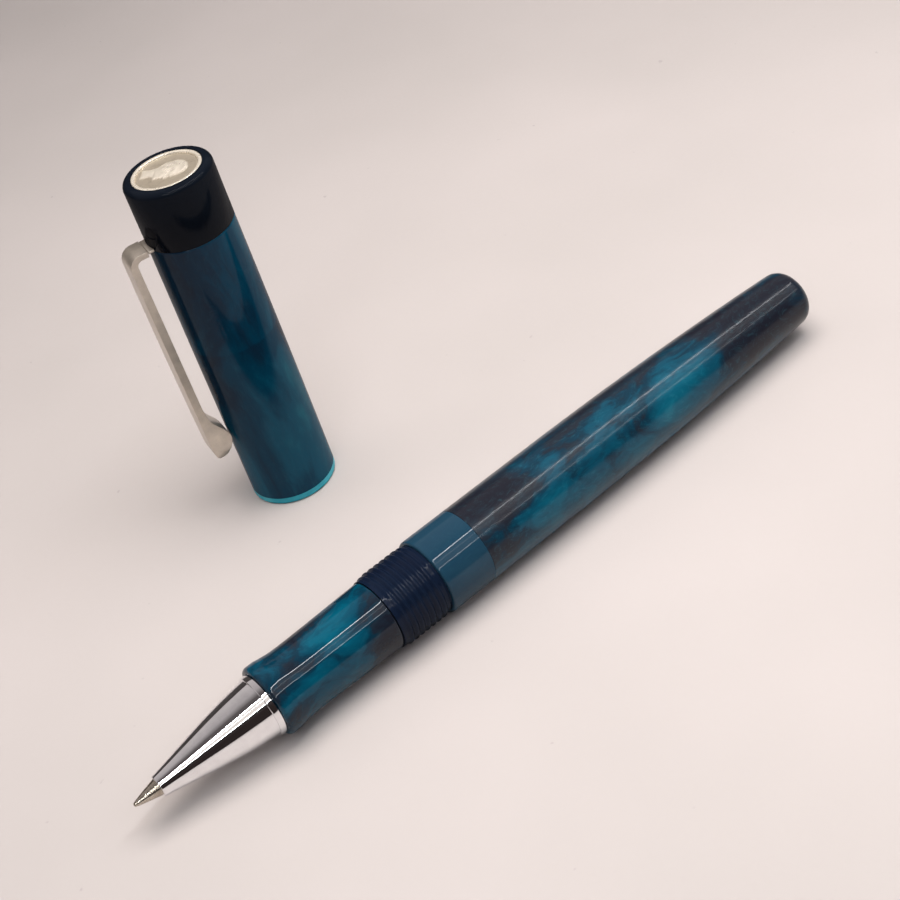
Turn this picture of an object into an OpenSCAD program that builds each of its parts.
// Screw-cap rollerball pen. The pen lies along X with its point towards -X, and the cap
// stands on its mouth beside it. Z = 0 is the surface that both rest on.

/* [Pen] */
// Length of the pen without its cap
pen_l = 131; // [126:1:136]
// Largest radius of the barrel
barrel_r = 6.25; // [6.2:0.05:6.6]
// Where the barrel starts to taper, measured from the point
taper_start = 78; // [70:1:90]
// How fast the barrel tapers, radius lost per square millimetre
taper_rate = 0.00058; // [0.0004:0.00001:0.0007]
// Radius of the rounded rear edge
rear_round = 2.2; // [1:0.1:3]
// Length of the plain band behind the threads
band_l = 8; // [6:0.5:9]

/* [Section] */
// Distance from the point to the front of the section
section_front = 22.4; // [22.2:0.1:22.6]
// Distance from the point to the rear of the section
section_rear = 43; // [42:0.1:43]
// Radius of the lip at the front of the section
lip_r = 5.65; // [5.5:0.05:5.7]
// Radius of the section's waist
waist_r = 5.3; // [5.2:0.05:5.4]

/* [Cap thread] */
// Distance from one thread ridge to the next
thread_pitch = 1.05; // [0.9:0.05:1.1]
// Number of ridges
thread_ridges = 8; // [6:1:8]
// Crest radius of the pen's thread
thread_crest = 6.05; // [5.95:0.01:6.05]
// Height of a ridge
thread_depth = 0.32; // [0.2:0.02:0.4]
// Radial gap between the pen's crests and the cap's crests
thread_gap = 0.07; // [0.05:0.01:0.1]

/* [Cap] */
// Length of the cap
cap_l = 60; // [60:1:64]
// Outer radius at the mouth
cap_mouth_r = 7.15; // [7.1:0.05:7.4]
// Outer radius at the finial
cap_top_r = 6.95; // [6.95:0.05:7.2]
// Length of the finial
finial_l = 10; // [9.5:0.1:10.5]
// Height of the bright ring at the mouth
cap_lip_h = 1.3; // [1:0.1:2]
// Radius of the coin
coin_r = 5.45; // [5:0.05:5.5]
// Distance from the pen's axis to the cap's axis, across the pen
cap_across = 45; // [30:1:60]
// Distance from the pen's point to the cap's axis, along the pen
cap_along = 57; // [40:1:90]
// Direction in which the clip points, about the cap's axis
clip_turn = 170; // [0:5:355]

/* [Clip] */
// Length of the clip
clip_l = 40; // [34:1:42]
// Width of the clip
clip_w = 4.2; // [2.5:0.1:5]
// Thickness of the clip's metal
clip_t = 1.2; // [0.8:0.1:1.5]
// Gap between the cap and the inside of the clip
clip_gap = 2.9; // [2:0.1:3.5]

/* [Refill] */
// Radius of the refill's tube
refill_r = 3.05; // [2.9:0.05:3.05]
// Radius of the ball
ball_r = 0.35; // [0.25:0.05:0.4]
// Travel that the ink follower has, which is also the way the cap slides on
follower_travel = 66; // [62:1:70]

/* [Hidden] */
$fn = 96;
clear = 0.02;
run = 0.05;
shoulder = 52;
band_end = shoulder + band_l;
pen_y = -(cap_across + cap_mouth_r - barrel_r) / 2;
cap_y = pen_y + cap_across;
cap_x = cap_along - pen_l / 2;
thread_root = thread_crest - thread_depth;
tenon_l = 6;
tenon_r = 5.2;
collar_bore = 5.05;
refill_bore = 3.7;
oring_seat_r = 5.45;
bore_end = 121.5;
sleeve_r = 4.6;
sleeve_in = 3.4;
nose_front = 4;
nose_front_r = 1.65;
nose_break = 18;
nose_break_r = 4.35;
nose_base_r = 4.6;
nose_rim = 20.8;
nose_rim_r = 4.85;
spigot_r = 4.1;
spigot_end = 29;
collar_front = 9.2;
tube_front = 17;
tube_end = 107;
tube_in = 2.6;
plug_front = 104.8;
plug_end = 108.5;
follower_l = 2.5;
follower_r = 2.4;
follower_front = plug_front - 0.3 - follower_travel - follower_l;
cup_end = 110.4;
spring_end = bore_end - 0.2;
spring_r = 2.7;
spring_wire = 0.3;
spring_turns = 7;
finial_z = cap_l - finial_l;
ring_t = 0.5;
insert_l = 10;
insert_r = 6.6;
cap_bore = 6;
finial_spigot_r = 6.4;
finial_spigot_l = 6;
cavity_end = 56.6;
liner_r = 5.8;
liner_in = 5.1;
liner_z = 31;
liner_top = 56.2;
seal_z = 53.6;
seal_t = 0.9;
root_x = 7.7;
clip_in = cap_top_r + clip_gap;
clip_out = clip_in + clip_t;

function barrel_radius(t) = t < taper_start ? barrel_r
    : barrel_r - taper_rate * pow(t - taper_start, 2);
function ridges(z0, n, low, high) = [for (i = [0:n - 1], p = [[0.1, low], [0.4, high],
    [0.65, high], [0.95, low]]) [p[1], z0 + (i + p[0]) * thread_pitch]];
function coil(t, side) = let (a = 360 * spring_turns * t, s = 60 * side)
    [(spring_r + spring_wire * cos(s)) * cos(a), (spring_r + spring_wire * cos(s)) * sin(a),
    cup_end + spring_wire + t * (spring_end - cup_end - 2 * spring_wire) + spring_wire * sin(s)];

// Turns a shape drawn along Z, with the point at the origin, into the lying pen
module in_pen() {
    translate([-pen_l / 2, pen_y, barrel_r]) rotate([0, 90, 0]) children();
}

// Puts a shape drawn on the cap's axis, mouth at the origin and clip along X, in its place
module in_cap() {
    translate([cap_x, cap_y, 0]) rotate(clip_turn) children();
}

// A ring from its inner and outer radius
module ring(inner, outer, z0, z1) {
    translate([0, 0, z0]) difference() {
        cylinder(r = outer, h = z1 - z0);
        translate([0, 0, -1]) cylinder(r = inner, h = z1 - z0 + 2);
    }
}

module rod(radius, z0, z1) {
    translate([0, 0, z0]) cylinder(r = radius, h = z1 - z0);
}

module cone(r0, r1, z0, z1) {
    translate([0, 0, z0]) cylinder(r1 = r0, r2 = r1, h = z1 - z0);
}

module barrel() {
    rear_z = pen_l - rear_round;
    rear_r = barrel_radius(rear_z);
    side = [for (t = [band_end:4:rear_z - 1]) [barrel_radius(t), t]];
    edge = [for (a = [0:15:90]) [rear_r - rear_round + rear_round * cos(a),
        rear_z + rear_round * sin(a)]];
    color("#0e5468") in_pen() difference() {
        rotate_extrude() polygon(concat([[0, band_end]], side, edge, [[0, pen_l]]));
        rod(tenon_r + clear, band_end - 1, band_end + tenon_l);
        rod(refill_bore, band_end, bore_end);
    }
}

module thread_collar() {
    chamfer = 0.35;
    outline = concat([[0, section_rear]], [[thread_root - 0.05, section_rear]],
        ridges(section_rear + 0.3, thread_ridges, thread_root, thread_crest),
        [[thread_root, shoulder], [barrel_r - chamfer, shoulder], [barrel_r, shoulder + chamfer],
        [barrel_r, band_end], [tenon_r, band_end], [tenon_r, band_end + tenon_l],
        [0, band_end + tenon_l]]);
    color("#1f5a70") in_pen() difference() {
        rotate_extrude() polygon(outline);
        rod(collar_bore, section_rear - 1, 58);
        rod(refill_bore, 57, band_end + tenon_l + 1);
        rod(oring_seat_r, section_rear - 1, section_rear + 0.9);
    }
}

module barrel_sleeve() {
    color("#b8954a") in_pen() ring(sleeve_r + run, collar_bore - clear, section_rear + 1, 58 - clear);
}

module refill_spring() {
    steps = 20 * spring_turns;
    sides = 6;
    points = [for (i = [0:steps], k = [0:sides - 1]) coil(i / steps, k)];
    walls = [for (i = [0:steps - 1], k = [0:sides - 1]) let (n = (k + 1) % sides)
        [i * sides + k, (i + 1) * sides + k, (i + 1) * sides + n, i * sides + n]];
    caps = [[for (k = [0:sides - 1]) k], [for (k = [sides - 1:-1:0]) steps * sides + k]];
    color("#c9ccd0") in_pen() polyhedron(points, concat(walls, caps));
}

module section() {
    outline = [[0, section_front], [lip_r - 0.5, section_front], [lip_r - 0.1, section_front + 0.3],
        [lip_r, section_front + 0.9], [lip_r, section_front + 2.2], [lip_r - 0.12, section_front + 2.8],
        [waist_r + 0.06, section_front + 4], [waist_r, section_front + 6],
        [waist_r + 0.08, section_front + 12], [waist_r + 0.25, section_rear - 1.5],
        [waist_r + 0.3, section_rear - 0.4], [waist_r + 0.1, section_rear - clear],
        [0, section_rear - clear]];
    color("#0d4a5a") in_pen() difference() {
        rotate_extrude() polygon(outline);
        rod(spigot_r + clear, section_front - 1, spigot_end + 0.5);
        rod(sleeve_in, spigot_end, section_rear);
        rod(4.2 + clear, 36, section_rear + 1);
    }
}

module section_sleeve() {
    color("#b8954a") in_pen() difference() {
        union() {
            rod(4.2, 36 + clear, section_rear + 1);
            rod(sleeve_r, section_rear + 0.1, 56);
        }
        rod(sleeve_in, 35, 57);
    }
}

module section_oring() {
    color("#202224") in_pen() rotate_extrude() 
        translate([oring_seat_r - 0.4, section_rear + 0.45]) circle(r = 0.36);
}

module nose_cone() {
    outline = [[0, nose_front], [nose_front_r - 0.15, nose_front], [nose_front_r, nose_front + 0.2],
        [nose_break_r, nose_break], [nose_base_r, nose_rim], [nose_rim_r, nose_rim + 0.15],
        [nose_rim_r, section_front - clear], [spigot_r, section_front - clear],
        [spigot_r, spigot_end], [0, spigot_end]];
    color("#d8dade") in_pen() difference() {
        rotate_extrude() polygon(outline);
        rod(1.33, nose_front - 1, 10);
        cone(1.95, 3.3, 8.6, 16.4);
        rod(3.3, 16.39, spigot_end + 1);
    }
}

module refill_tip() {
    outline = [[0, ball_r * 1.3], [ball_r + 0.08, ball_r * 1.3], [0.75, 1.7], [0.78, 2], [1.25, 3.7],
        [1.25, 12], [0, 12]];
    color("#b9a98c") in_pen() difference() {
        rotate_extrude() polygon(outline);
        translate([0, 0, ball_r + 0.02]) sphere(r = ball_r + 0.03);
        rod(0.25, 0.5, 13);
    }
}

module refill_collar() {
    color("#e8e6de") in_pen() difference() {
        union() {
            cone(1.7, refill_r, collar_front, 16.5);
            rod(refill_r, 16.5, tube_front - clear);
            rod(tube_in - clear, 16.8, 21);
        }
        rod(1.25 + clear, collar_front - 1, 12 + clear);
        rod(0.9, 11, 22);
    }
}

module refill_tube() {
    color("#cfd2d6") in_pen() ring(tube_in, refill_r, tube_front, tube_end);
}

module refill_plug() {
    color("#2a2d30") in_pen() {
        rod(tube_in - clear, plug_front, tube_end + 0.1);
        rod(refill_r, tube_end + clear, plug_end);
    }
}

module spring_cup() {
    color("#3a3d40") in_pen() {
        rod(3.4, plug_end + clear, cup_end - clear);
        rod(2.1, cup_end - 0.1, cup_end + 1.5);
    }
}

module ink_column() {
    color("#10151f") in_pen() rod(tube_in - clear, 21 + clear, follower_front - 1.2);
}

module tip_ball() {
    color("#8d9196") in_pen() translate([0, 0, ball_r]) sphere(r = ball_r);
}

module ink_follower() {
    color("#d9c9a0") in_pen() rod(follower_r, follower_front, follower_front + follower_l);
}

module inner_cap() {
    color("#c8ced2") in_cap() difference() {
        rod(liner_r, liner_z, liner_top);
        rod(liner_in, liner_z - 1, seal_z + seal_t);
    }
}

module tip_seal() {
    color("#6d7072") in_cap() rod(liner_in - clear, seal_z, seal_z + seal_t - clear);
}

module cap_tube() {
    outline = [[0, cap_lip_h], [cap_mouth_r, cap_lip_h], [cap_mouth_r, 10],
        [(cap_mouth_r + cap_top_r) / 2 + 0.03, 30], [cap_top_r, finial_z], [0, finial_z]];
    color("#12354c") in_cap() difference() {
        rotate_extrude() polygon(outline);
        rod(insert_r + clear, 0, cap_lip_h + insert_l + clear);
        rod(cap_bore, 0, finial_z + 1);
        rod(finial_spigot_r + clear, finial_z - finial_spigot_l - 0.1, finial_z + 1);
    }
}

module cap_lip() {
    inner = 6.4;
    outline = [[inner, 0], [cap_mouth_r - 0.45, 0], [cap_mouth_r - 0.1, 0.35],
        [cap_mouth_r, cap_lip_h - clear], [inner, cap_lip_h - clear]];
    color("#1fa3ab") in_cap() rotate_extrude() polygon(outline);
}

module cap_insert() {
    low = thread_crest + thread_gap;
    outline = concat([[insert_r, cap_lip_h], [low, cap_lip_h]],
        ridges(cap_lip_h + 0.3, thread_ridges, low, low + 0.28),
        [[low, cap_lip_h + insert_l], [insert_r, cap_lip_h + insert_l]]);
    color("#0f2c40") in_cap() rotate_extrude() polygon(outline);
}

module cap_finial() {
    edge = 1;
    rim = [for (a = [0:15:90]) [cap_top_r - edge + edge * cos(a), cap_l - edge + edge * sin(a)]];
    outline = concat([[0, finial_z - finial_spigot_l], [finial_spigot_r, finial_z - finial_spigot_l],
        [finial_spigot_r, finial_z + ring_t], [cap_top_r, finial_z + ring_t]], rim, [[0, cap_l]]);
    color("#0d1822") in_cap() difference() {
        rotate_extrude() polygon(outline);
        rod(cap_bore, finial_z - finial_spigot_l - 1, cavity_end);
        rod(coin_r + 0.04, cap_l - 1, cap_l + 1);
    }
}

module cap_coin() {
    rim_w = 0.5;
    field = cap_l - 0.35;
    color("#bdb4a2") in_cap() {
        ring(coin_r - rim_w, coin_r, cap_l - 1 + clear, cap_l - 0.1);
        rod(coin_r - rim_w, cap_l - 1 + clear, field);
        translate([0, 0.6, 0]) rod(1.9, field, field + 0.18);
        translate([0, -1.9, 0]) rod(1.5, field, field + 0.12);
    }
}

module clip_ring() {
    color("#b9ae9c") in_cap() {
        ring(finial_spigot_r + clear, 6.75, finial_z + clear, finial_z + ring_t - clear);
        translate([6.6, -clip_w / 2, finial_z + clear])
            cube([root_x - 6.6 - 0.05, clip_w, ring_t - 2 * clear]);
    }
}

module clip_arm() {
    tip_z = finial_z - clip_l + 1;
    bend = 2;
    plate_t = 1;
    tip_r = 1.4;
    heel_r = 1.3;
    heel = [clip_in + 0.1 - heel_r, tip_z + 3.8];
    bend_z = finial_z + 0.65 - bend;
    color("#b9ae9c") in_cap() translate([0, clip_w / 2, 0]) rotate([90, 0, 0])
        linear_extrude(clip_w) {
            translate([root_x, finial_z - 0.35]) square([clip_out - bend - root_x, plate_t]);
            intersection() {
                translate([clip_out - bend, bend_z]) difference() {
                    circle(r = bend);
                    circle(r = bend - plate_t);
                }
                translate([clip_out - bend, bend_z]) square(bend);
            }
            translate([clip_in, tip_z + tip_r]) square([clip_t, bend_z + 0.01 - tip_z - tip_r]);
            translate([clip_out - tip_r, tip_z + tip_r]) circle(r = tip_r);
            translate(heel) circle(r = heel_r);
            polygon([[clip_out, tip_z + tip_r], [clip_out, tip_z + 8], [clip_in, tip_z + 8.5],
                heel + [-0.92, 0.92], heel + [-0.8, -1.02], [clip_out - 2.1, tip_z + 0.18]]);
        }
}

barrel();
thread_collar();
barrel_sleeve();
refill_spring();
section();
section_sleeve();
section_oring();
nose_cone();
refill_tip();
refill_collar();
refill_tube();
refill_plug();
spring_cup();
ink_column();
tip_ball();
ink_follower();
inner_cap();
tip_seal();
cap_tube();
cap_lip();
cap_insert();
cap_finial();
cap_coin();
clip_ring();
clip_arm();
